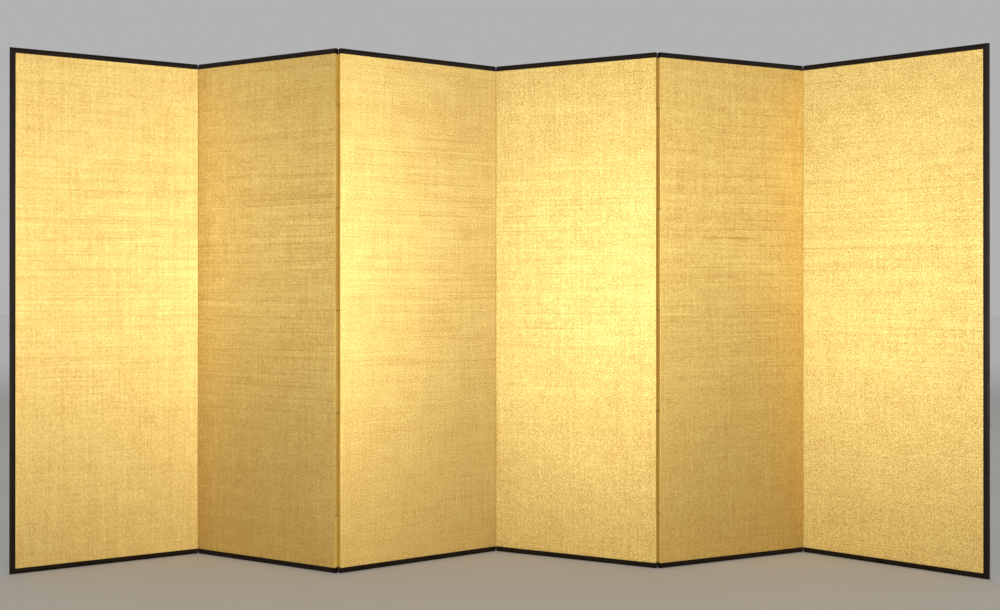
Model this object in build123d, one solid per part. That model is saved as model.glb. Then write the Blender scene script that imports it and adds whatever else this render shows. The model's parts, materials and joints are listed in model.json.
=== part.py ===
from build123d import *
import math
import os

# A six-panel folding screen (rokkyoku byobu), in millimetres.
# Each panel is a cedar lattice core in layers of paper, faced with gold cloth in front and
# backing paper behind, between lacquered rails. Paper straps that pass from the front of
# one panel to the back of the next, by turns, hinge the panels. The screen stands in a
# zigzag on its bottom rails: X runs along it, the gold faces look towards -Y.
#
# Every panel is modelled in its own frame: x from 0 at its left edge, y from the front
# hinge plane to the back hinge plane, z from the floor. It is then set in its place.

# ---- The screen: six shaku tall, in panels two shaku wide ----
screen_height = 1818.0
panel_width = 606.0  # core and papers, without an end stile
panel_thickness = 20.0  # from the front hinge plane to the back hinge plane
standing_angles = [130.4, 127.7, 130.4, 137.8, 126.2]  # at each fold, between the faces

# ---- Papers and cloth ----
gold_cloth = 0.5
backing_paper = 0.5
under_paper = 0.9  # the layers pasted over the core, as one skin
rail_stand = 0.3  # how far the rails stand proud of the cloth

# ---- Paper hinges ----
hinge_paper = 0.4
crease_relief = 0.2  # from the crease line to the paper, and to the rails' faces
flap_width = 18.0  # the part of a strap that is pasted under the cloth
strap_breaks = [0.1, 0.3, 0.5, 0.7, 0.9]  # where one strap gives way to the next
strap_gap = 3.0
pocket_clearance = 0.25  # round a flap, in the plane of the skin

# ---- Lacquered rails and end stiles ----
rail_face = 19.0
bevel_face = 8.0  # the front bevel, measured on the face
bevel_depth = 4.0
back_bevel = 2.5
arris_round = 1.0

# ---- Cedar core ----
core_stile = 21.0
core_rail = 24.0
tenon_length = 14.0
tenon_thickness = 5.5
tenon_shoulder = 6.0
bar_width = 9.0
upright_count = 3
crossbar_count = 9
joint_clearance = 0.1  # each side of a tenon and of a half-lap

# ---- Nails: with raised heads in the end stiles, headless ones in the rails ----
stile_nail_pitch = 157.0
stile_nail_middle = 188.0  # the wider space at mid height
stile_nail_edge = 120.0  # least distance from a stile's end
rail_nail_pitch = 202.0
rail_nail_edge = 60.0  # least distance from a rail's end
nail_head = 5.5
nail_crown = 3.0  # the flat on top of the head
nail_rise = 1.6
head_facets = 8
nail_shank = 2.4
nail_tip = 1.2
nail_length = 30.0
nail_clearance = 0.1  # each side of the shank
nail_sink = 0.3  # a headless nail's end below the lacquer

# ---- What follows from the sizes ----
panel_count = len(standing_angles) + 1
fold_gap = 2 * (hinge_paper + crease_relief)  # between the edges of two panels laid flat
core_bottom = rail_face
core_top = screen_height - rail_face
core_height = core_top - core_bottom
skin = {"front": gold_cloth, "back": backing_paper}
cover_depth = crease_relief + rail_stand  # hinge plane to the outside of cloth or backing
flap_depth = {face: cover_depth + sheet for face, sheet in skin.items()}
core_front = flap_depth["front"] + under_paper
core_back = panel_thickness - flap_depth["back"] - under_paper
core_middle = (core_front + core_back) / 2
other_face = {"front": "back", "back": "front"}


# ---- Helpers ----
def block(x, y, z):
    """A square-cornered solid between two limits along each axis."""
    low = [min(limits) for limits in (x, y, z)]
    size = [max(limits) - min(limits) for limits in (x, y, z)]
    return Pos(*low) * Box(*size, align=(Align.MIN, Align.MIN, Align.MIN))


def spaced(count, low, high):
    """Centres of equally spaced members between two limits."""
    return [low + (high - low) * (number + 1) / (count + 1) for number in range(count)]


def both_ways(first, pitch, limit):
    """Offsets on both sides of a middle: first, then every pitch, up to a limit."""
    steps = int((limit - first) // pitch) + 1
    reach = [first + pitch * step for step in range(steps)]
    return [-offset for offset in reversed(reach) if offset > 0] + reach


# ---- The folds ----
def fold_face(fold):
    """The face on which a fold creases: the faces meet at the first fold, then by turns."""
    return "front" if fold % 2 == 0 else "back"


def panel_edges(panel):
    """The hinged edges of a panel, each with its side and its fold."""
    edges = []
    if panel > 0:
        edges.append(("left", panel - 1))
    if panel < panel_count - 1:
        edges.append(("right", panel))
    return edges


def free_end(panel):
    """The side on which an end panel has its stile, or None."""
    return {0: "left", panel_count - 1: "right"}.get(panel)


def crease(side, face):
    """Plan position of a fold's crease line in the frame of the panel on either side."""
    x = -fold_gap / 2 if side == "left" else panel_width + fold_gap / 2
    return Pos(x, 0 if face == "front" else panel_thickness, 0)


def at_edge(side, face, outward, inward):
    """Plan point outward of a panel's edge and inward of the hinge plane of a face."""
    x = -outward if side == "left" else panel_width + outward
    y = inward if face == "front" else panel_thickness - inward
    return x, y


def plan_reach(panel):
    """Plan points of a panel that can be the outermost ones of the screen."""
    front, back = crease_relief, panel_thickness - crease_relief
    at_stile = [
        (rail_face - bevel_face, front),
        (rail_face, front + bevel_depth),
        (rail_face, back - back_bevel),
        (rail_face - back_bevel, back),
        (rail_face + nail_rise, panel_thickness / 2),
    ]
    at_fold = [(hinge_paper, front), (hinge_paper, back)]
    return [
        at_edge(side, "front", *point)
        for side in ("left", "right")
        for point in (at_stile if side == free_end(panel) else at_fold)
    ]


def standing_places():
    """Where each panel's own frame lies when the screen stands, centred on its outline."""
    places = [Location()]
    for fold, angle in enumerate(standing_angles):
        face = fold_face(fold)
        turn = (angle - 180) if face == "front" else (180 - angle)
        hinge = places[-1] * crease("right", face) * Rot(0, 0, turn)
        places.append(hinge * crease("left", face).inverse())
    start = (places[0] * Pos(-rail_face, 0, 0)).position
    end = (places[-1] * Pos(panel_width + rail_face, 0, 0)).position
    level = Rot(0, 0, -math.degrees(math.atan2(end.Y - start.Y, end.X - start.X)))
    places = [level * place for place in places]
    reach = [
        (place * Pos(x, y, 0)).position
        for panel, place in enumerate(places)
        for x, y in plan_reach(panel)
    ]
    middle_x = (min(point.X for point in reach) + max(point.X for point in reach)) / 2
    middle_y = (min(point.Y for point in reach) + max(point.Y for point in reach)) / 2
    return [Pos(-middle_x, -middle_y, 0) * place for place in places]


def fold_axes():
    """Plan position of each crease line, in the frame of the whole screen."""
    places = standing_places()
    return [
        (places[fold] * crease("right", fold_face(fold))).position
        for fold in range(len(standing_angles))
    ]


# ---- Paper hinges ----
def straps():
    """Lower and upper end of each strap of a fold, from the bottom up."""
    ends = [0] + strap_breaks + [1]
    levels = [core_bottom + core_height * end for end in ends]
    half = strap_gap / 2
    return [(low + half, high - half) for low, high in zip(levels, levels[1:])]


def wraps_edge(side, number):
    """Whether a strap goes round this panel's edge; its neighbour's edge gets the next."""
    return (number % 2 == 0) == (side == "right")


def leaf_outline(wraps, face):
    """Outline of a strap's leaf, as (outward, inward) from the edge and the crease's face.

    A wrapping leaf covers the whole edge and turns under the opposite face's sheet. The
    other one turns under the sheet of the crease's own face straight away.
    """
    if wraps:
        far = panel_thickness - flap_depth[other_face[face]]
        return [
            (0, crease_relief),
            (0, far - hinge_paper),
            (-flap_width, far - hinge_paper),
            (-flap_width, far),
            (hinge_paper, far),
            (hinge_paper, crease_relief),
        ]
    near = flap_depth[face]
    return [
        (-flap_width, near),
        (-flap_width, near + hinge_paper),
        (hinge_paper, near + hinge_paper),
        (hinge_paper, crease_relief),
        (0, crease_relief),
        (0, near),
    ]


def hinge_leaves(side, fold):
    """The rigid leaves, on one panel, of all the straps of a fold."""
    face = fold_face(fold)
    leaves = []
    for number, (low, high) in enumerate(straps()):
        outline = leaf_outline(wraps_edge(side, number), face)
        points = [at_edge(side, face, *point) for point in outline]
        leaf = extrude(make_face(Polyline(*points, close=True)), high - low, (0, 0, 1))
        leaves.append(Pos(0, 0, low) * leaf)
    return leaves


def flap_pockets(side, fold):
    """The shallow beds in the skin that the leaves' flaps are pasted into."""
    face = fold_face(fold)
    pockets = []
    for number, (low, high) in enumerate(straps()):
        bed = other_face[face] if wraps_edge(side, number) else face
        top = flap_depth[bed]
        inner = at_edge(side, bed, -flap_width - pocket_clearance, top + hinge_paper)
        outer = at_edge(side, bed, hinge_paper, top - hinge_paper)
        height = (low - pocket_clearance, high + pocket_clearance)
        pockets.append(block((inner[0], outer[0]), (inner[1], outer[1]), height))
    return pockets


# ---- Nails ----
def headed_nail():
    """A nail with a low hammered head of eight facets on z = 0, and a square shank."""
    seat = RegularPolygon(nail_head / 2, head_facets)
    crown = Pos(0, 0, nail_rise) * RegularPolygon(nail_crown / 2, head_facets)
    return loft([seat, crown]) + headless_nail()


def headless_nail():
    """The square tapering shank alone, from z = 0 down."""
    top = Rectangle(nail_shank, nail_shank)
    tip = Pos(0, 0, -nail_length) * Rectangle(nail_tip, nail_tip)
    return loft([top, tip])


def nail_hole():
    """The square hole that takes a shank, open at z = 0."""
    width = (-nail_shank / 2 - nail_clearance, nail_shank / 2 + nail_clearance)
    return block(width, width, (-nail_length - nail_clearance, nail_sink + nail_clearance))


def stile_nail_seats(side):
    """Places on the outer side of an end stile, z pointing out of the wood."""
    if side is None:
        return []
    x = -rail_face if side == "left" else panel_width + rail_face
    out = (-1, 0, 0) if side == "left" else (1, 0, 0)
    middle = screen_height / 2
    offsets = both_ways(stile_nail_middle / 2, stile_nail_pitch, middle - stile_nail_edge)
    return [
        Plane((x, panel_thickness / 2, middle + offset), (0, 1, 0), out).location
        for offset in offsets
    ]


def rail_nail_seats(level):
    """Places in the outer side of the top or bottom rail, z pointing out of the wood."""
    up = 1 if level == "top" else -1
    z = screen_height - nail_sink if level == "top" else nail_sink
    middle = panel_width / 2
    offsets = both_ways(0, rail_nail_pitch, middle - rail_nail_edge)
    return [
        Plane((middle + offset, panel_thickness / 2, z), (0, 1, 0), (0, 0, up)).location
        for offset in offsets
    ]


# ---- Cedar core ----
def core_frame(panel):
    """Two full-height stiles and two rails stub-tenoned between them."""
    depth = (core_front, core_back)
    left, right = under_paper, panel_width - under_paper
    seats = stile_nail_seats(free_end(panel))
    holes = [seat * nail_hole() for seat in seats]
    for level in ("top", "bottom"):
        holes += [seat * nail_hole() for seat in rail_nail_seats(level)]
    stiles = [
        block((left, left + core_stile), depth, (core_bottom, core_top)),
        block((right - core_stile, right), depth, (core_bottom, core_top)),
    ]
    rails = []
    tongue = (core_middle - tenon_thickness / 2, core_middle + tenon_thickness / 2)
    slot = (tongue[0] - joint_clearance, tongue[1] + joint_clearance)
    for low, high, shoulder in (
        (core_bottom, core_bottom + core_rail, (tenon_shoulder, 0)),
        (core_top - core_rail, core_top, (0, tenon_shoulder)),
    ):
        rail = block((left + core_stile, right - core_stile), depth, (low, high))
        tall = (low + shoulder[0], high - shoulder[1])
        mortise = (tall[0] - joint_clearance, tall[1] + joint_clearance)
        for shoulder_x, inward in ((left + core_stile, 1), (right - core_stile, -1)):
            end = shoulder_x - inward * tenon_length
            rail += block((shoulder_x, end), tongue, tall)
            bed = block((shoulder_x, end - inward * joint_clearance), slot, mortise)
            stiles = [stile - bed for stile in stiles]
        rails.append(rail)
    return [piece - holes for piece in stiles + rails]


def core_lattice():
    """Uprights and crossbars, half-lapped where they cross, flush on both faces."""
    inner_x = (under_paper + core_stile, panel_width - under_paper - core_stile)
    inner_z = (core_bottom + core_rail, core_top - core_rail)
    columns = spaced(upright_count, *inner_x)
    rows = spaced(crossbar_count, core_bottom, core_top)
    half = bar_width / 2
    lap = half + joint_clearance
    uprights = []
    for x in columns:
        bar = block((x - half, x + half), (core_front, core_back), inner_z)
        laps = [
            block((x - lap, x + lap), (core_front, core_middle), (z - lap, z + lap))
            for z in rows
        ]
        uprights.append(bar - laps)
    crossbars = []
    for z in rows:
        bar = block(inner_x, (core_front, core_back), (z - half, z + half))
        laps = [
            block((x - lap, x + lap), (core_middle, core_back), (z - lap, z + lap))
            for x in columns
        ]
        crossbars.append(bar - laps)
    return uprights + crossbars


# ---- Papers and cloth ----
def paper_skin(panel):
    """The pasted under-layers, wrapped round the core's faces and edges."""
    outside = (flap_depth["front"], panel_thickness - flap_depth["back"])
    shell = block((0, panel_width), outside, (core_bottom, core_top))
    inside = (under_paper, panel_width - under_paper)
    shell -= block(inside, (core_front, core_back), (core_bottom, core_top))
    for side, fold in panel_edges(panel):
        shell -= flap_pockets(side, fold)
    return shell - [seat * nail_hole() for seat in stile_nail_seats(free_end(panel))]


def cover_sheet(face):
    """The gold cloth in front, or the backing paper behind, edge to edge."""
    y = (cover_depth, flap_depth[face])
    if face == "back":
        y = (panel_thickness - y[0], panel_thickness - y[1])
    return block((0, panel_width), y, (core_bottom, core_top))


# ---- Lacquered rails and stiles ----
def frame_section():
    """Section of rail and stile: x from front to back, y from the cloth outwards."""
    front, back = crease_relief, panel_thickness - crease_relief
    points = [
        (front, 0),
        (front, rail_face - bevel_face),
        (front + bevel_depth, rail_face),
        (back - back_bevel, rail_face),
        (back, rail_face - back_bevel),
        (back, 0),
    ]
    section = make_face(Polyline(*points, close=True))
    arrises = section.vertices().filter_by(lambda corner: corner.Y > rail_face / 4)
    return fillet(arrises, arris_round)


def frame_member(start, along, length):
    """A straight length of the section; its outer side faces along x Y."""
    return extrude(Plane(start, (0, 1, 0), along) * frame_section(), length)


def mitre(side, level):
    """The plane of a mitred corner; rails lie on its upper side, stiles on its lower."""
    x = 0 if side == "left" else panel_width
    z = core_top if level == "top" else core_bottom
    inward = 1 if side == "left" else -1
    outward = 1 if level == "top" else -1
    return Plane((x, 0, z), (0, 1, 0), (inward, 0, outward))


def rail(panel, level):
    """The top or bottom rail, square over the hinge papers and mitred at the screen's ends."""
    side = free_end(panel)
    left = -rail_face if side == "left" else -hinge_paper
    right = panel_width + (rail_face if side == "right" else hinge_paper)
    if level == "top":
        piece = frame_member((left, 0, core_top), (1, 0, 0), right - left)
    else:
        piece = frame_member((right, 0, core_bottom), (-1, 0, 0), right - left)
    if side:
        piece = split(piece, mitre(side, level), keep=Keep.TOP)
    return piece - [seat * nail_hole() for seat in rail_nail_seats(level)]


def end_stile(side):
    """The full-height stile at one end of the screen, mitred top and bottom."""
    if side == "left":
        piece = frame_member((0, 0, 0), (0, 0, 1), screen_height)
    else:
        piece = frame_member((panel_width, 0, screen_height), (0, 0, -1), screen_height)
    for level in ("top", "bottom"):
        piece = split(piece, mitre(side, level), keep=Keep.BOTTOM)
    return piece - [seat * nail_hole() for seat in stile_nail_seats(side)]


# ---- The nodes ----
def panel_nails(panel):
    """All the nails of a panel."""
    nails = [seat * headed_nail() for seat in stile_nail_seats(free_end(panel))]
    for level in ("top", "bottom"):
        nails += [seat * headless_nail() for seat in rail_nail_seats(level)]
    return nails


def panel_nodes(panel):
    """Every node that rides on one panel, in the panel's own frame."""
    name = f"panel_{panel + 1}"
    nodes = {
        f"{name}_core_frame": core_frame(panel),
        f"{name}_core_lattice": core_lattice(),
        f"{name}_paper_skin": [paper_skin(panel)],
        f"{name}_gold_cloth": [cover_sheet("front")],
        f"{name}_backing_paper": [cover_sheet("back")],
        f"{name}_top_rail": [rail(panel, "top")],
        f"{name}_bottom_rail": [rail(panel, "bottom")],
        f"{name}_nails": panel_nails(panel),
    }
    for side, fold in panel_edges(panel):
        leaf = "left" if side == "right" else "right"
        nodes[f"fold_{fold + 1}_{fold + 2}_{leaf}_leaves"] = hinge_leaves(side, fold)
    if free_end(panel):
        nodes[f"{free_end(panel)}_end_stile"] = [end_stile(free_end(panel))]
    return nodes


def main():
    os.makedirs("parts", exist_ok=True)
    for panel, place in enumerate(standing_places()):
        for name, pieces in panel_nodes(panel).items():
            solids = [solid for piece in pieces for solid in (place * piece).solids()]
            export_step(Compound(solids), f"parts/{name}.step")


main()
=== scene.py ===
import json
import math

import bpy
from mathutils import Matrix, Vector


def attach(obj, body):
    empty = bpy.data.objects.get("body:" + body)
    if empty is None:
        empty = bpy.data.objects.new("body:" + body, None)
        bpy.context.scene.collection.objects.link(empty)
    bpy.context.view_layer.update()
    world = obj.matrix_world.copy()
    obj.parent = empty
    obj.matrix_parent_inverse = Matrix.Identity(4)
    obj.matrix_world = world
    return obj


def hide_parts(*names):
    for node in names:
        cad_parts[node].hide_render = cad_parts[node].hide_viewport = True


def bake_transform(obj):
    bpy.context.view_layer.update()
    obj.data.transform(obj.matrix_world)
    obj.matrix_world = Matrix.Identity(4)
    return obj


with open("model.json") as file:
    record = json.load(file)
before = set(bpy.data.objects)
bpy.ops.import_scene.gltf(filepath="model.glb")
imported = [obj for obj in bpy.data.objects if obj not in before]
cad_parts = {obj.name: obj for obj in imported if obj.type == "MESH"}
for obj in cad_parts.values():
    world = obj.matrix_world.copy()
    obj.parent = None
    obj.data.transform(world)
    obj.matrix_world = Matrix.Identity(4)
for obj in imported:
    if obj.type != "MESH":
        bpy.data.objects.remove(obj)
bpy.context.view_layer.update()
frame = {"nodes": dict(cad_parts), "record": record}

# The looks of a six-panel gold folding screen. Lengths are in metres unless a name says mm.
# Each panel has a frame of its own: x from its left edge, y from the front hinge plane to the
# back hinge plane, z up from the floor.

MM = 0.001
PANELS = range(1, 7)
FOLDS = range(1, 6)  # fold n joins panels n and n + 1

# ---- Real sizes, as in the part ----
PANEL_WIDTH = 606 * MM
PANEL_DEPTH = 20 * MM
SCREEN_HEIGHT = 1818 * MM
RAIL_FACE = 19 * MM
CLOTH_FACE = 0.5 * MM  # hinge plane to the outside of the cloth or of the backing
SHEET = 0.5 * MM  # thickness of the cloth, and of the backing paper
CREASE_OUT = 0.6 * MM  # from a panel's edge to the line it folds about
CREASE_RELIEF = 0.2 * MM  # from the hinge plane to the hinge paper
HINGE_PAPER = 0.4 * MM  # its thickness
STRAP_BREAKS = (0.1, 0.3, 0.5, 0.7, 0.9)  # parts of the core's height
STRAP_GAP = 3 * MM
CORE_EDGE = 21.9 * MM  # from a panel's edge to the open lattice
UPRIGHTS = 3
CROSSBARS = 9

CORE_BOTTOM = RAIL_FACE
CORE_TOP = SCREEN_HEIGHT - RAIL_FACE
CORE_HEIGHT = CORE_TOP - CORE_BOTTOM


# ---- Where the panels stand ----
def panel_place(panel):
    """The place of a panel's own frame, read from the plan corners of its cloth."""
    cloth = frame["nodes"][f"panel_{panel}_gold_cloth"]
    corners = sorted({(round(v.co.x, 6), round(v.co.y, 6)) for v in cloth.data.vertices})
    left = min(corners[:2], key=lambda corner: corner[1])
    right = min(corners[-2:], key=lambda corner: corner[1])
    heading = math.atan2(right[1] - left[1], right[0] - left[0])
    turned = Matrix.Translation((*left, 0)) @ Matrix.Rotation(heading, 4, "Z")
    return turned @ Matrix.Translation((0, -CLOTH_FACE, 0))


PLACES = {panel: panel_place(panel) for panel in PANELS}


# ---- Node helpers ----
def linear(hex_colour):
    """An sRGB hex colour as linear RGBA."""
    parts = [int(hex_colour[i : i + 2], 16) / 255 for i in (1, 3, 5)]
    return (*[c / 12.92 if c <= 0.04045 else ((c + 0.055) / 1.055) ** 2.4 for c in parts], 1)


def add(tree, kind, inputs=None, **settings):
    """One node with its settings; inputs maps a socket's name or number to a value or a link."""
    node = tree.nodes.new(kind)
    for name, value in settings.items():
        setattr(node, name, value)
    for name, value in (inputs or {}).items():
        if isinstance(value, bpy.types.NodeSocket):
            tree.links.new(value, node.inputs[name])
        else:
            node.inputs[name].default_value = value
    return node


def cells(tree, where, size_mm, seed, detail):
    """Noise, about 0 to 1, whose patches measure size_mm along x, y and z."""
    scale = [1000 / size for size in size_mm]
    inputs = {"Vector": where, "Scale": scale, "Location": (seed * 3.7, seed * 1.3, seed * 5.1)}
    spread = add(tree, "ShaderNodeMapping", inputs).outputs[0]
    inputs = {"Vector": spread, "Scale": 1.0, "Detail": detail, "Roughness": 0.5}
    return add(tree, "ShaderNodeTexNoise", inputs).outputs["Fac"]


def sums(tree, terms, start=0.0):
    """start plus each term's factor times its noise, taken about the noise's middle of 0.5."""
    total = start - sum(factor for factor, _ in terms) / 2
    for factor, source in terms:
        inputs = {0: source, 1: factor, 2: total}
        total = add(tree, "ShaderNodeMath", inputs, operation="MULTIPLY_ADD").outputs[0]
    return total


def own_coordinates(tree, place):
    """Coordinates in a place's own frame, which turn with a panel that stands there."""
    told = add(tree, "ShaderNodeTexCoord").outputs["Object"]
    spot, turn = place.to_translation(), place.to_euler()
    inputs = {"Vector": told, "Location": spot, "Rotation": turn}
    return add(tree, "ShaderNodeMapping", inputs, vector_type="TEXTURE").outputs[0]


def new_material(name, place, finish, *look):
    """A material of one of the finishes below, laid out in a place's own frame.

    A finish adds its nodes and gives the surface's sockets. Look is what else it is told.
    """
    material = bpy.data.materials.new(name)
    material.use_nodes = True
    tree = material.node_tree
    tree.nodes.clear()
    sockets = finish(tree, own_coordinates(tree, place), *look)
    surface = add(tree, "ShaderNodeBsdfPrincipled", sockets).outputs[0]
    add(tree, "ShaderNodeOutputMaterial", {"Surface": surface})
    return material


# ---- Finishes ----
# A Mix node goes by its input 0 from input 6 to input 7 in colour, which is its output 2, or
# from input 2 to input 3 in number, its output 0.
THREAD = 1.4 * MM  # real threads are 0.5 mm apart; drawn nearly three times as coarse
THREAD_RELIEF = {"X": 0.25, "Z": 0.35}  # of the warp, side by side, and of the weft, stacked
CLOTH_LAY = "cloth_lay"  # the sheets' map: x across and y up, in parts of the cloth
EDGE_HIGHLIGHT = 5 * MM  # how far in from its edges the cloth is painted paler, a painted highlight along its edges

# The six cloths are of one weave, given per panel: pale and dark gilding, how strongly the uneven
# wefts show, and how strongly the warp's ties speckle it. The gilding carries painted light:
# warmer and a little darker on panels 2 and 5, which are in shade, and paler and yellower on
# panels 4 and 6, which are in the brightest light.
CLOTHS = {
    1: ("#FFE58F", "#C48937", 1.0, 1.0),
    2: ("#FFE48B", "#C68834", 1.0, 0.95),
    3: ("#FFE58F", "#C48937", 0.9, 1.75),
    4: ("#FFE791", "#C48B39", 0.8, 1.7),
    5: ("#FFE48A", "#C68833", 1.0, 1.0),
    6: ("#FFE791", "#C48B39", 0.7, 1.85),
}

# Patches of the cloth's unevenness in mm, along its width, depth and height, and the detail in
# them. The speckle is drawn as coarse as it needs to show at a distance.
CLOTH_PATCHES = {
    "speckle": ((3.4, 50, 3.5), 1.0),
    "weft_slub": ((210, 50, 3.4), 1.0),
    "weft_line": ((640, 50, 3.2), 1.0),
    "weft_band": ((560, 50, 17), 3.0),
    "warp_slub": ((3.6, 50, 240), 1.0),
    "mottle": ((60, 50, 45), 3.0),
    "wash": ((420, 50, 520), 1.0),
}

# The weaver's beat was steadier towards both ends of the cloth: the heights in metres between
# which the level lines grow, and fade again, and how strong they are below and above each
LINES_GROW = (0.4, 0.95, 0.45, 1.2)
LINES_FADE = (1.3, 1.6, 1.0, 0.55)


def near_edge(tree, where, reach):
    """1 on the four edges of a panel's cloth, falling to 0 at a reach inside them."""
    parts = add(tree, "ShaderNodeSeparateXYZ", {"Vector": where}).outputs
    nearest = None
    for part, low, high in ((parts["X"], 0, PANEL_WIDTH), (parts["Z"], CORE_BOTTOM, CORE_TOP)):
        for edge in (low, high):
            gap = add(tree, "ShaderNodeMath", {0: part, 1: edge}, operation="SUBTRACT").outputs[0]
            gap = add(tree, "ShaderNodeMath", {0: gap}, operation="ABSOLUTE").outputs[0]
            if nearest is not None:
                both = {0: gap, 1: nearest}
                gap = add(tree, "ShaderNodeMath", both, operation="MINIMUM").outputs[0]
            nearest = gap
    inputs = {"Value": nearest, "From Max": reach, "To Min": 1.0, "To Max": 0.0}
    return add(tree, "ShaderNodeMapRange", inputs, interpolation_type="SMOOTHSTEP").outputs[0]


def weft_lines(tree, where, noise, slubs):
    """The level lines of uneven wefts, about 0.5, weaker towards the top and the foot."""
    # a single heavy weft is a dark line and a thin one a pale line
    inputs = {"Value": noise["weft_line"], "From Min": 0.62, "From Max": 0.74}
    heavy = add(tree, "ShaderNodeMapRange", inputs, interpolation_type="SMOOTHSTEP").outputs[0]
    inputs = {"Value": noise["weft_line"], "From Min": 0.38, "From Max": 0.26}
    thin = add(tree, "ShaderNodeMapRange", inputs, interpolation_type="SMOOTHSTEP").outputs[0]
    terms = [(0.30, noise["weft_slub"]), (0.28, noise["weft_band"]), (-0.26, heavy), (0.18, thin)]
    lines = sums(tree, terms, 0.5)
    height = add(tree, "ShaderNodeSeparateXYZ", {"Vector": where}).outputs["Z"]
    strengths = []
    for (low, high, below, above), scale in ((LINES_GROW, slubs), (LINES_FADE, 1.0)):
        inputs = {
            "Value": height, "From Min": low, "From Max": high,
            "To Min": below * scale, "To Max": above * scale,
        }
        node = add(tree, "ShaderNodeMapRange", inputs, interpolation_type="SMOOTHSTEP")
        strengths.append(node.outputs[0])
    grow, fade = strengths
    strength = add(tree, "ShaderNodeMath", {0: grow, 1: fade}, operation="MULTIPLY").outputs[0]
    inputs = {0: strength, 2: 0.5, 3: lines}
    return add(tree, "ShaderNodeMix", inputs, clamp_factor=False).outputs[0]


def cloth_bump(tree, where, noise):
    """The relief of the weave: its threads, the warp's ties and the slubs."""
    terms = []
    for across, height in THREAD_RELIEF.items():
        inputs = {"Vector": where, "Scale": math.pi / 10 / THREAD}
        wave = add(tree, "ShaderNodeTexWave", inputs, wave_type="BANDS", bands_direction=across)
        terms.append((height, wave.outputs["Fac"]))
    terms += [(1.0, noise["speckle"]), (0.8, noise["weft_slub"]), (0.5, noise["warp_slub"])]
    inputs = {"Height": sums(tree, terms), "Strength": 0.5, "Distance": 0.25 * MM}
    return add(tree, "ShaderNodeBump", inputs).outputs[0]


def gold_cloth(tree, where, seed, pale, dark, slubs, ties):
    """Kinran ground cloth: silk warp and flat gilt-paper weft, pasted down tight.

    The gilt weft gives a satin metal sheen, wider up and down than along the threads, with a
    fine speckle where the warp ties it down. Heavy and thin wefts show as sharp level lines,
    in bands, and uneven warp as fainter upright ones.
    """
    noise = {
        patch: cells(tree, where, size_mm, seed + k, detail)
        for k, (patch, (size_mm, detail)) in enumerate(CLOTH_PATCHES.items())
    }
    terms = [
        (1.0, weft_lines(tree, where, noise, slubs)), (1.12 * ties, noise["speckle"]),
        (0.34, noise["warp_slub"]), (0.26, noise["mottle"]), (0.12, noise["wash"]),
        # painted highlight: the cloth a little paler near its edges
        (0.08, near_edge(tree, where, EDGE_HIGHLIGHT)),
    ]
    tone = sums(tree, terms, 0.58)
    inputs = {0: tone, 6: linear(dark), 7: linear(pale)}
    colour = add(tree, "ShaderNodeMix", inputs, data_type="RGBA").outputs[2]
    inputs = {"Value": tone, "To Min": 0.44, "To Max": 0.34}
    rough = add(tree, "ShaderNodeMapRange", inputs, interpolation_type="SMOOTHSTEP").outputs[0]
    lay = add(tree, "ShaderNodeTangent", direction_type="UV_MAP", uv_map=CLOTH_LAY).outputs[0]
    return {
        "Base Color": colour, "Metallic": 1.0, "Roughness": rough,
        "Normal": cloth_bump(tree, where, noise),
        "Anisotropic": 0.65, "Anisotropic Rotation": 0.25, "Tangent": lay,
    }


LINE_MIDDLE, LINE_RIM = 0.4, 0.7  # full strength and none, in widths from a line's middle


def level_lines(tree, where, count, width, strength):
    """strength on level lines across a panel, 0 between them.

    They are evenly spaced, the first and last half a space from the ends of its core.
    """
    half_pitch = CORE_HEIGHT / count / 2
    z = add(tree, "ShaderNodeSeparateXYZ", {"Vector": where}).outputs["Z"]
    z = add(tree, "ShaderNodeMath", {0: z, 1: CORE_BOTTOM}, operation="SUBTRACT").outputs[0]
    # rises from 0 to half_pitch at every line, and falls to 0 again midway between two
    rise = add(tree, "ShaderNodeMath", {0: z, 1: half_pitch}, operation="PINGPONG").outputs[0]
    inputs = {
        "Value": rise, "From Min": half_pitch - LINE_RIM * width,
        "From Max": half_pitch - LINE_MIDDLE * width, "To Max": strength,
    }
    return add(tree, "ShaderNodeMapRange", inputs, interpolation_type="SMOOTHSTEP").outputs[0]


# colour of the painted shadow in the gaps between one hinge strap and the next
STRAP_BREAK_SHADE = "#74441A"
EDGE_BREAK_SHADE = 0.6  # how strongly the paper on a panel's edges is darkened in the strap gaps, a painted shadow


def gold_paper(tree, where, seed, pale, dark, breaks=0.0):
    """Gilded handmade paper: duller than the cloth, its fibres faintly showing.

    Where breaks is above 0, it is painted dark in the gaps between one hinge strap and the next:
    a painted shadow in each gap.
    """
    fibre = cells(tree, where, (1.6, 1.6, 9), seed, 3.0)
    wear = cells(tree, where, (30, 30, 110), seed + 1, 2.0)
    tone = sums(tree, [(0.7, fibre), (0.7, wear)], 0.5)
    inputs = {0: tone, 6: linear(dark), 7: linear(pale)}
    colour = add(tree, "ShaderNodeMix", inputs, data_type="RGBA").outputs[2]
    # painted shadow: dark bands in the gaps between the hinge straps
    if breaks:
        break_shade = level_lines(tree, where, len(STRAP_BREAKS), STRAP_GAP, breaks)
        inputs = {0: break_shade, 6: colour, 7: linear(STRAP_BREAK_SHADE)}
        colour = add(tree, "ShaderNodeMix", inputs, data_type="RGBA").outputs[2]
    inputs = {"Height": fibre, "Strength": 0.3, "Distance": 0.1 * MM}
    bump = add(tree, "ShaderNodeBump", inputs).outputs[0]
    return {"Base Color": colour, "Metallic": 0.4, "Roughness": 0.5, "Normal": bump}


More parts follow.
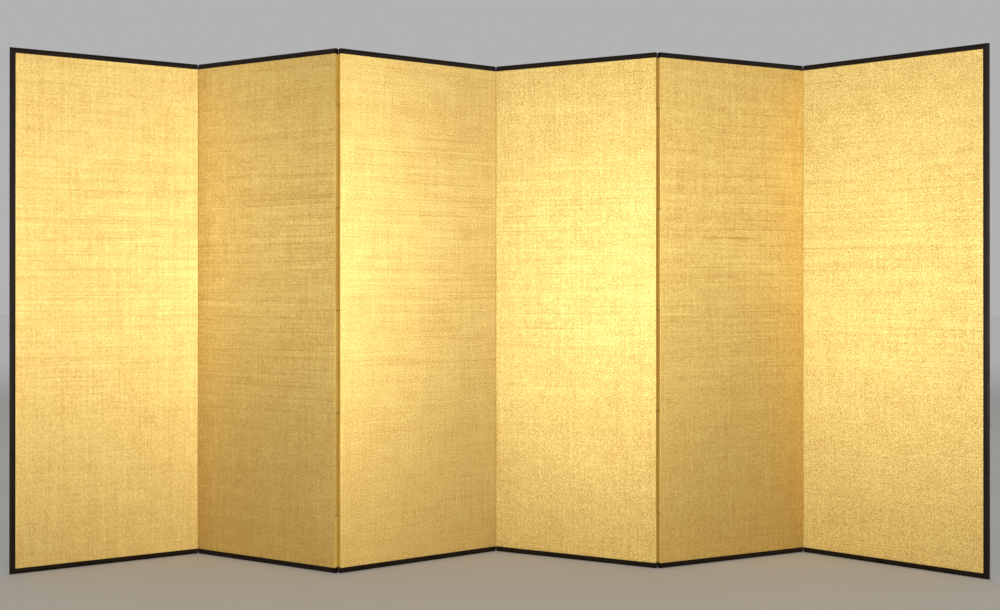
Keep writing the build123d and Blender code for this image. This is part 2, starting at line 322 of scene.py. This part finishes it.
def black_lacquer(tree, where, seed):
    """Urushi lacquer rubbed semi-gloss on wood: near black, faintly brown, slow unevenness."""
    orange_peel = cells(tree, where, (7, 7, 7), seed, 1.0)
    handling = cells(tree, where, (60, 60, 60), seed + 1, 4.0)
    inputs = {0: handling, 6: linear("#140D07"), 7: linear("#21160C")}
    colour = add(tree, "ShaderNodeMix", inputs, data_type="RGBA").outputs[2]
    inputs = {"Value": handling, "From Min": 0.3, "From Max": 0.7, "To Min": 0.26, "To Max": 0.40}
    rough = add(tree, "ShaderNodeMapRange", inputs, interpolation_type="SMOOTHSTEP").outputs[0]
    inputs = {"Height": orange_peel, "Strength": 0.15, "Distance": 0.15 * MM}
    bump = add(tree, "ShaderNodeBump", inputs).outputs[0]
    return {
        "Base Color": colour, "Roughness": rough, "Normal": bump, "Specular IOR Level": 0.12,
    }


PAPER_JOINS = 3  # a panel's backing is four sheets, one above the other
JOIN_LAP = 5 * MM


def backing_paper(tree, where, seed):
    """Dark dyed handmade paper on the back: matt, clouded by the dye, long fibres in it.

    Its sheets lap over each other, which shows as level lines, darker and a little raised.
    """
    cloud = cells(tree, where, (160, 50, 210), seed, 4.0)
    fibre = cells(tree, where, (1.8, 50, 14), seed + 1, 3.0)
    husks = cells(tree, where, (2.4, 50, 9), seed + 2, 1.0)
    inputs = {"Value": husks, "From Min": 0.68, "From Max": 0.76}
    fleck = add(tree, "ShaderNodeMapRange", inputs, interpolation_type="SMOOTHSTEP").outputs[0]
    lap = level_lines(tree, where, PAPER_JOINS, JOIN_LAP, 0.3)
    tone = sums(tree, [(0.9, cloud), (0.7, fibre), (0.5, fleck)], 0.75)
    tone = add(tree, "ShaderNodeMath", {0: tone, 1: lap}, operation="SUBTRACT").outputs[0]
    inputs = {0: tone, 6: linear("#3F3A30"), 7: linear("#6A6250")}
    colour = add(tree, "ShaderNodeMix", inputs, data_type="RGBA").outputs[2]
    relief = sums(tree, [(1.0, fibre), (4.0, lap)])
    inputs = {"Height": relief, "Strength": 0.35, "Distance": 0.15 * MM}
    bump = add(tree, "ShaderNodeBump", inputs).outputs[0]
    return {"Base Color": colour, "Roughness": 0.82, "Normal": bump, "Specular IOR Level": 0.3}


def cedar(tree, where, seed):
    """Planed bare cedar (sugi): straight grain, red-brown late wood between pale early wood."""
    grain = cells(tree, where, (2.2, 2.2, 160), seed, 2.0)
    board = cells(tree, where, (60, 60, 400), seed + 1, 2.0)
    tone = sums(tree, [(1.1, grain), (0.5, board)], 0.5)
    inputs = {0: tone, 6: linear("#9C6A43"), 7: linear("#DDB88A")}
    colour = add(tree, "ShaderNodeMix", inputs, data_type="RGBA").outputs[2]
    inputs = {"Height": grain, "Strength": 0.2, "Distance": 0.2 * MM}
    bump = add(tree, "ShaderNodeBump", inputs).outputs[0]
    return {"Base Color": colour, "Roughness": 0.68, "Normal": bump}


def nail_brass(tree, where, seed):
    """Hand-hammered brass, dulled: warm grey-yellow, browner in patches, dented by the hammer."""
    marks = cells(tree, where, (1.1, 1.1, 1.1), seed, 1.0)
    tarnish = cells(tree, where, (5, 5, 5), seed + 1, 3.0)
    inputs = {0: tarnish, 6: linear("#B7985C"), 7: linear("#F0DDA6")}
    colour = add(tree, "ShaderNodeMix", inputs, data_type="RGBA").outputs[2]
    inputs = {"Height": marks, "Strength": 0.4, "Distance": 0.2 * MM}
    bump = add(tree, "ShaderNodeBump", inputs).outputs[0]
    return {"Base Color": colour, "Metallic": 1.0, "Roughness": 0.28, "Normal": bump}


PAPER_REACH = (4.0, 12.0)  # metres from the origin: from where it fades, and where it is gone


def studio_paper(tree, where, seed):
    """Matt pale seamless paper for the floor, fading far out to the white floor it lies on."""
    mottle = cells(tree, where, (900, 900, 900), seed, 2.0)
    inputs = {0: mottle, 6: linear("#BCBAB6"), 7: linear("#C4C2BE")}
    paper = add(tree, "ShaderNodeMix", inputs, data_type="RGBA").outputs[2]
    out = add(tree, "ShaderNodeVectorMath", {0: where}, operation="LENGTH").outputs["Value"]
    inputs = {"Value": out, "From Min": PAPER_REACH[0], "From Max": PAPER_REACH[1]}
    fade = add(tree, "ShaderNodeMapRange", inputs, interpolation_type="SMOOTHSTEP").outputs[0]
    inputs = {0: fade, 6: paper, 7: linear("#F6F6F5")}
    colour = add(tree, "ShaderNodeMix", inputs, data_type="RGBA").outputs[2]
    return {"Base Color": colour, "Roughness": 0.9, "Specular IOR Level": 0.2}


# ---- Meshes ----
SHARP_ANGLE = math.radians(40)


def new_piece(name, vertices, faces, place, material):
    """A mesh object from points in a place's own frame, set in that place."""
    mesh = bpy.data.meshes.new(name)
    mesh.from_pydata([place @ Vector(point) for point in vertices], [], faces)
    mesh.materials.append(material)
    mesh.update()
    mesh.set_sharp_from_angle(angle=SHARP_ANGLE)
    piece = bpy.data.objects.new(name, mesh)
    bpy.context.scene.collection.objects.link(piece)
    return piece


def bays(low, high, count):
    """The limits of the open bays that count bars make between two limits."""
    edges = [low + (high - low) * k / (count + 1) for k in range(count + 2)]
    return list(zip(edges, edges[1:]))


def hollow(at, spans):
    """0 on the bars and 1 in the middle of the bay that the point is in."""
    for low, high in spans:
        if low < at < high:
            return math.sin(math.pi * (at - low) / (high - low))
    return 0.0


def sheet_levels(low, high, step, edge):
    """Grid lines between two limits, with two fine ones just inside each end."""
    count = round((high - low) / step)
    inner = [low + (high - low) * k / count for k in range(1, count)]
    return [low, low + edge, low + 2 * edge, *inner, high - 2 * edge, high - edge, high]


CLOTH_STEP = 12 * MM
CLOTH_SAG = 0.2 * MM  # how far it is drawn in between the bars of the core
CLOTH_TURN = 0.7 * MM  # width of its softly turned edge
CLOTH_TURN_DEPTH = 0.2 * MM  # how far that edge turns down


def cloth_relief(x, z):
    """How far the cloth's face lies behind its plane: drawn in over the core's open bays."""
    across = hollow(x, bays(CORE_EDGE, PANEL_WIDTH - CORE_EDGE, UPRIGHTS))
    up = hollow(z, bays(CORE_BOTTOM, CORE_TOP, CROSSBARS))
    return CLOTH_SAG * across * up


def sheet_grid(columns, rows, face):
    """Points of a sheet's face and then of its bed, in a panel's own frame."""
    points = []
    for depth in ("face", "bed"):
        for z in rows:
            for x in columns:
                rim = z in (rows[0], rows[-1]) or x in (columns[0], columns[-1])
                if depth == "bed":
                    y = CLOTH_FACE + SHEET
                else:
                    y = CLOTH_FACE + (CLOTH_TURN_DEPTH if rim else cloth_relief(x, z))
                points.append((x, y if face == "front" else PANEL_DEPTH - y, z))
    return points


def sheet_faces(wide, tall):
    """Faces of a closed sheet whose face and bed are grids, wide by tall points each."""
    bed = wide * tall
    faces = []
    for row in range(tall - 1):
        for column in range(wide - 1):
            a = row * wide + column
            faces.append((a, a + 1, a + wide + 1, a + wide))
            faces.append((bed + a, bed + a + wide, bed + a + wide + 1, bed + a + 1))
    rim = list(range(wide))
    rim += [row * wide + wide - 1 for row in range(1, tall)]
    rim += [(tall - 1) * wide + column for column in range(wide - 2, -1, -1)]
    rim += [row * wide for row in range(tall - 2, 0, -1)]
    for here, after in zip(rim, rim[1:] + rim[:1]):
        faces.append((here, bed + here, bed + after, after))
    return faces


def pasted_sheet(name, panel, face, material):
    """Cloth or paper pasted over a panel: closed, with soft edges, drawn in over the bays."""
    columns = sheet_levels(0, PANEL_WIDTH, CLOTH_STEP, CLOTH_TURN)
    rows = sheet_levels(CORE_BOTTOM, CORE_TOP, CLOTH_STEP, CLOTH_TURN)
    vertices = sheet_grid(columns, rows, face)
    faces = sheet_faces(len(columns), len(rows))
    if face == "back":
        faces = [tuple(reversed(corners)) for corners in faces]
    piece = new_piece(name, vertices, faces, PLACES[panel], material)
    lay = piece.data.uv_layers.new(name=CLOTH_LAY).uv
    for loop in piece.data.loops:
        x, _, z = vertices[loop.vertex_index]
        lay[loop.index].vector = (x / PANEL_WIDTH, (z - CORE_BOTTOM) / CORE_HEIGHT)
    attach(piece, f"panel_{panel}")
    return piece


CREASE_GAP = 0.8 * MM  # the straps nearly meet where they bend


def strap_levels():
    """Lower and upper end of each hinge strap of a fold, at its bend."""
    levels = [CORE_BOTTOM + CORE_HEIGHT * part for part in (0, *STRAP_BREAKS, 1)]
    half = CREASE_GAP / 2
    return [(low + half, high - half) for low, high in zip(levels, levels[1:])]


CREASE_STEPS = 8
CREASE_ROWS = 4
CREASE_START = 0.1 * MM  # past a panel's edge, where the paper comes off its leaf
# how deep its outside and its inside lie behind the hinge plane
CREASE_FACES = (CREASE_RELIEF - 0.02 * MM, CREASE_RELIEF + 0.3 * MM)


def crease_side(fold, depth):
    """Plan points of one side of a fold's paper, from the left panel round to the right one."""
    left, right = PLACES[fold], PLACES[fold + 1]
    # an odd fold creases at the panels' front, and an even one at their back
    y = depth if fold % 2 else PANEL_DEPTH - depth
    axis = left @ Vector((PANEL_WIDTH + CREASE_OUT, 0 if fold % 2 else PANEL_DEPTH, 0))
    start = left @ Vector((PANEL_WIDTH + CREASE_START, y, 0))
    edge_left = left @ Vector((PANEL_WIDTH + HINGE_PAPER, y, 0))
    edge_right = right @ Vector((-HINGE_PAPER, y, 0))
    end = right @ Vector((-CREASE_START, y, 0))
    a, b = edge_left - axis, edge_right - axis
    turn_a, turn_b = math.atan2(a.y, a.x), math.atan2(b.y, b.x)
    sweep = (turn_b - turn_a + math.pi) % (2 * math.pi) - math.pi
    bend = []
    for k in range(1, CREASE_STEPS):
        t = k / CREASE_STEPS
        radius = a.length + (b.length - a.length) * t
        angle = turn_a + sweep * t
        bend.append(axis + radius * Vector((math.cos(angle), math.sin(angle), 0)))
    return [start, edge_left, *bend, edge_right, end]


def strap_mesh(section):
    """Points and faces of a fold's six straps, each the section drawn up its own height."""
    size = len(section)
    vertices, faces = [], []
    for low, high in strap_levels():
        base = len(vertices)
        for row in range(CREASE_ROWS + 1):
            z = low + (high - low) * row / CREASE_ROWS
            vertices += [(point.x, point.y, z) for point in section]
        for row in range(CREASE_ROWS):
            for k in range(size):
                a, b = base + row * size + k, base + row * size + (k + 1) % size
                faces.append((a, b, b + size, a + size))
        faces.append(tuple(base + k for k in reversed(range(size))))
        top = base + CREASE_ROWS * size
        faces.append(tuple(top + k for k in range(size)))
    return vertices, faces


def crease_paper(fold, material):
    """The bending part of a fold's straps, from one panel's leaves round to the next's."""
    outside, inside = (crease_side(fold, depth) for depth in CREASE_FACES)
    vertices, faces = strap_mesh(outside + inside[::-1])
    piece = new_piece(f"fold_{fold}_{fold + 1}_crease_paper", vertices, faces, Matrix(), material)
    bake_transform(piece)
    return piece


# ---- Dressing the part ----
def finish_of(node):
    """The finish that a node is given, by its name."""
    if node.startswith("fold"):
        return "hinge_paper"
    for ending, finish in (
        ("core_frame", "cedar"), ("core_lattice", "cedar"), ("paper_skin", "edge_paper"),
        ("gold_cloth", "gold_cloth"), ("backing_paper", "backing_paper"), ("nails", "nail_brass"),
    ):
        if node.endswith(ending):
            return finish
    return "black_lacquer"


def panel_materials(panel):
    """Every finish of one panel, laid out in that panel's own frame."""
    seed = panel * 11
    looks = {
        "gold_cloth": (gold_cloth, seed, *CLOTHS[panel]),
        "hinge_paper": (gold_paper, seed, "#EFD980", "#DAB758"),
        # the edge paper, with painted shadow in the gaps between its hinge straps
        "edge_paper": (gold_paper, seed + 7, "#E4CB72", "#CFAB4F", EDGE_BREAK_SHADE),
        # the crease paper is darker and browner than the hinge paper: painted shade in the fold's
        # crease
        "crease_paper": (gold_paper, seed + 9, "#A87C38", "#7C551F"),
        "black_lacquer": (black_lacquer, seed),
        "backing_paper": (backing_paper, seed),
        "cedar": (cedar, seed),
        "nail_brass": (nail_brass, seed),
    }
    return {
        name: new_material(f"{name}_{panel}", PLACES[panel], *look)
        for name, look in looks.items()
    }


def dress(panel):
    """Gives every node of a panel its material, and lays on the cloth and the backing."""
    finishes = panel_materials(panel)
    for node in frame["record"]["behaviour"]["bodies"][f"panel_{panel}"]:
        mesh = frame["nodes"][node].data
        mesh.materials.clear()
        mesh.materials.append(finishes[finish_of(node)])
    for name, face in (("gold_cloth", "front"), ("backing_paper", "back")):
        piece = pasted_sheet(f"pasted_{name}_{panel}", panel, face, finishes[name])
        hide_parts(f"panel_{panel}_{name}")
    return finishes


# ---- Studio ----
FLOOR_HALF = 30  # half of its width
FLOOR_SEED = 3


def studio_floor():
    """A wide level floor under the screen."""
    mesh = bpy.data.meshes.new("studio_floor")
    half = FLOOR_HALF
    corners = [(-half, -half, 0), (half, -half, 0), (half, half, 0), (-half, half, 0)]
    mesh.from_pydata(corners, [], [(0, 1, 2, 3)])
    mesh.materials.append(new_material("studio_paper", Matrix(), studio_paper, FLOOR_SEED))
    floor = bpy.data.objects.new("studio_floor", mesh)
    bpy.context.scene.collection.objects.link(floor)


def softbox(name, spot, aim, size, strength):
    """A large rectangular lamp of a given radiance, aimed at a point."""
    lamp = bpy.data.lights.new(name, "AREA")
    lamp.shape = "RECTANGLE"
    lamp.size, lamp.size_y = size
    lamp.energy = strength * math.pi * size[0] * size[1]
    holder = bpy.data.objects.new(name, lamp)
    holder.location = spot
    facing = Vector(aim) - Vector(spot)
    holder.rotation_euler = facing.to_track_quat("-Z", "Y").to_euler()
    holder.visible_camera = False
    bpy.context.scene.collection.objects.link(holder)


# Softboxes round the camera, one far out at each side, and one behind: centre, the point it is
# aimed at, width and height, and radiance. The two low ones face up steeply, so that they light
# the screen's foot and not the floor.
SOFTBOXES = {
    "middle": ((-0.2, -3.4, 1.4), (-0.2, 0, 1.4), (4.2, 2.2), 1.38),
    "low_left": ((-2.3, -3.36, 0.45), (-2.3, -2.86, 1.32), (2.8, 1.0), 4.2),
    "low_right": ((1.9, -3.36, 0.45), (1.9, -2.86, 1.32), (2.8, 1.0), 3.2),
    "left": ((-3.0, -3.4, 1.4), (-3.0, 0, 1.4), (1.4, 2.2), 1.75),
    "right": ((2.6, -3.4, 1.4), (2.6, 0, 1.4), (1.4, 2.2), 3.15),
    "far_left": ((-8.2, -3.4, 1.9), (0, 0, 0.9), (1.4, 1.2), 6.0),
    "far_right": ((5.4, -3.4, 1.9), (0, 0, 0.9), (3.1, 1.2), 2.15),
    "back": ((0, 4.4, 2.6), (0, 0, 0.9), (4.0, 1.6), 2.4),
}
ROOM_GREY = 0.45


def studio_light():
    """The softboxes, in an evenly pale room."""
    for name, setting in SOFTBOXES.items():
        softbox(f"softbox_{name}", *setting)
    world = bpy.data.worlds.new("studio_room")
    world.use_nodes = True
    background = world.node_tree.nodes["Background"]
    background.inputs["Color"].default_value = (ROOM_GREY, ROOM_GREY, ROOM_GREY, 1)
    bpy.context.scene.world = world


CAMERA_SPOT = (0.0737, -3.4896, 0.9917)
CAMERA_TURN = (90.069, 0, 0.997)  # degrees about X, Y and Z
CAMERA_SENSOR = 36  # mm wide
CAMERA_LENS = 34.948  # mm
CAMERA_SHIFT = -0.0195  # part of the picture's width


def camera():
    """The eye: a little above and right of the screen's middle."""
    lens = bpy.data.cameras.new("eye")
    lens.sensor_width = CAMERA_SENSOR
    lens.lens = CAMERA_LENS
    lens.shift_y = CAMERA_SHIFT
    eye = bpy.data.objects.new("eye", lens)
    eye.location = CAMERA_SPOT
    eye.rotation_euler = [math.radians(turn) for turn in CAMERA_TURN]
    bpy.context.scene.collection.objects.link(eye)
    bpy.context.scene.camera = eye


def main():
    finishes = {panel: dress(panel) for panel in PANELS}
    for fold in FOLDS:
        crease_paper(fold, finishes[fold]["crease_paper"])
    studio_floor()
    studio_light()
    camera()
    bpy.context.scene.view_settings.view_transform = "Standard"


main()
